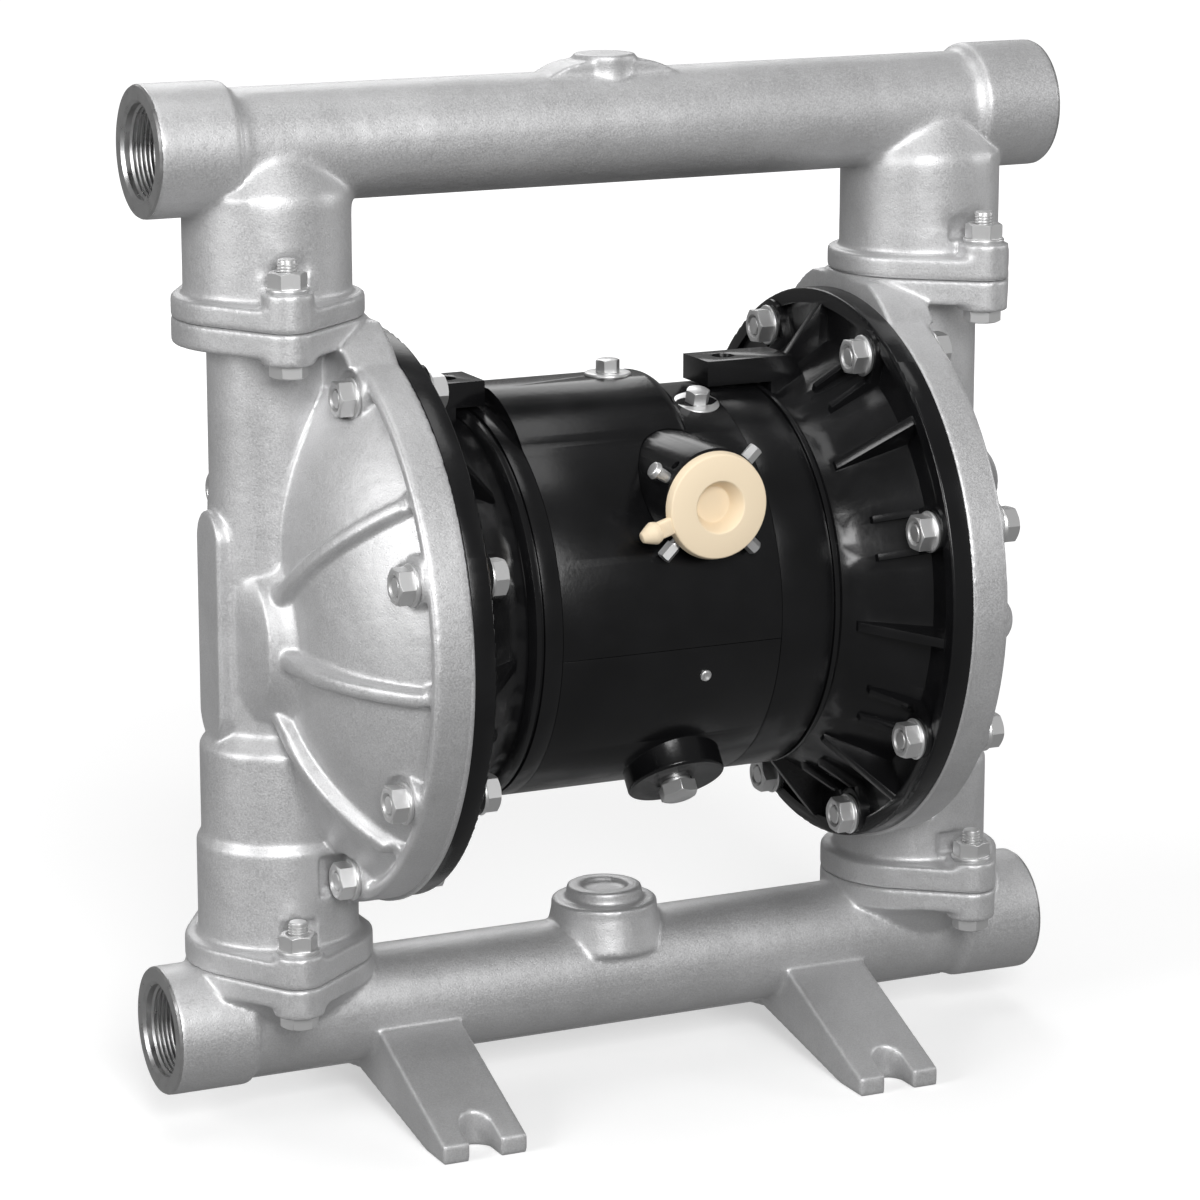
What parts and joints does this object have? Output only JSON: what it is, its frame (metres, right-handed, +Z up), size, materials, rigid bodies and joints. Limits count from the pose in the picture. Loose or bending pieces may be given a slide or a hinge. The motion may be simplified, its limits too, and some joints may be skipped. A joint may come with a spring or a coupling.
{
  "type": "air operated double diaphragm pump",
  "caption": "Air operated diaphragm pump: cast manifolds with side ports, twin fluid chambers on bolted air caps, a drum-shaped centre body and slotted feet.",
  "frame": {"origin": "on the ground under the middle of the pump", "axes": "+X along the manifolds to the right-hand chamber, +Z up, the air inlet faces -Y"},
  "size_m": [0.5, 0.293, 0.5365],
  "materials": {
    "cast_fluid": "fine shot-blasted casting",
    "black_coat": "cast aluminium under a smooth black coating with soft gloss",
    "cream_plastic": "soft satin cream plastic",
    "black_rubber": "matt moulded rubber",
    "plate_aluminium": "turned",
    "seat_plastic": "satin",
    "ball_rubber": "matt",
    "bush_brass": "turned",
    "seal_rubber": "matt",
    "bright_steel": "bright machined stainless"
  },
  "bodies": {
    "housing": {"centre_body": "black_coat", "cover_bolts": "bright_steel", "cover_washers": "bright_steel", "discharge_bolts": "bright_steel", "discharge_nuts": "bright_steel", "discharge_washers": "bright_steel", "drain_plug": "bright_steel", "inlet_screws": "bright_steel", "left_air_cap": "black_coat", "left_diaphragm": "black_rubber", "left_discharge_seat": "seat_plastic", "left_fluid_chamber": "cast_fluid", "left_inner_nuts": "bright_steel", "left_inner_washers": "bright_steel", "left_outer_nuts": "bright_steel", "left_outer_washers": "bright_steel", "left_pilot_bush": "bush_brass", "left_rod_bush": "bush_brass", "left_rod_seal": "seal_rubber", "left_suction_seat": "seat_plastic", "left_valve_cap": "plate_aluminium", "left_wheel_studs": "bright_steel", "lower_cover": "black_coat", "lower_manifold": "cast_fluid", "right_air_cap": "black_coat", "right_diaphragm": "black_rubber", "right_discharge_seat": "seat_plastic", "right_fluid_chamber": "cast_fluid", "right_inner_nuts": "bright_steel", "right_inner_washers": "bright_steel", "right_outer_nuts": "bright_steel", "right_outer_washers": "bright_steel", "right_pilot_bush": "bush_brass", "right_rod_bush": "bush_brass", "right_rod_seal": "seal_rubber", "right_suction_seat": "seat_plastic", "right_valve_cap": "plate_aluminium", "right_wheel_studs": "bright_steel", "suction_bolts": "bright_steel", "suction_nuts": "bright_steel", "suction_washers": "bright_steel", "upper_cover": "black_coat", "upper_manifold": "cast_fluid", "valve_sleeve": "bush_brass"},
    "rod": {"connecting_rod": "bright_steel", "right_inner_plate": "plate_aluminium", "left_inner_plate": "plate_aluminium", "right_outer_plate": "plate_aluminium", "left_outer_plate": "plate_aluminium", "right_plate_bolt": "bright_steel", "left_plate_bolt": "bright_steel"},
    "right_suction_valve": {"right_suction_ball": "ball_rubber"},
    "left_suction_valve": {"left_suction_ball": "ball_rubber"},
    "right_discharge_valve": {"right_discharge_ball": "ball_rubber"},
    "left_discharge_valve": {"left_discharge_ball": "ball_rubber"},
    "spool": {"valve_spool": "bright_steel"},
    "right_pilot": {"right_pilot_pin": "bright_steel"},
    "left_pilot": {"left_pilot_pin": "bright_steel"},
    "plug": {"inlet_plug": "cream_plastic"}
  },
  "joints": [
    {"name": "rod_stroke", "type": "slide", "parent": "housing", "child": "rod", "axis": [1, 0, 0], "range_m": [-0.01, 0.01], "stiffness_N_per_m": 1500, "deforming": ["right_diaphragm", "left_diaphragm"]},
    {"name": "right_suction_lift", "type": "slide", "parent": "housing", "child": "right_suction_valve", "axis": [0, 0, 1], "range_m": [0, 0.011]},
    {"name": "left_suction_lift", "type": "slide", "parent": "housing", "child": "left_suction_valve", "axis": [0, 0, 1], "range_m": [0, 0.011]},
    {"name": "right_discharge_lift", "type": "slide", "parent": "housing", "child": "right_discharge_valve", "axis": [0, 0, 1], "range_m": [0, 0.011]},
    {"name": "left_discharge_lift", "type": "slide", "parent": "housing", "child": "left_discharge_valve", "axis": [0, 0, 1], "range_m": [0, 0.011]},
    {"name": "spool_shift", "type": "slide", "parent": "housing", "child": "spool", "axis": [1, 0, 0], "range_m": [-0.008, 0.008]},
    {"name": "right_pilot_press", "type": "slide", "parent": "housing", "child": "right_pilot", "axis": [-1, 0, 0], "range_m": [0, 0.005], "stiffness_N_per_m": 300, "springref_m": -0.002},
    {"name": "left_pilot_press", "type": "slide", "parent": "housing", "child": "left_pilot", "axis": [1, 0, 0], "range_m": [0, 0.005], "stiffness_N_per_m": 300, "springref_m": -0.002},
    {"name": "plug_pull", "type": "slide", "parent": "housing", "child": "plug", "axis": [0, -1, 0], "range_m": [0, 0.03]}
  ]
}
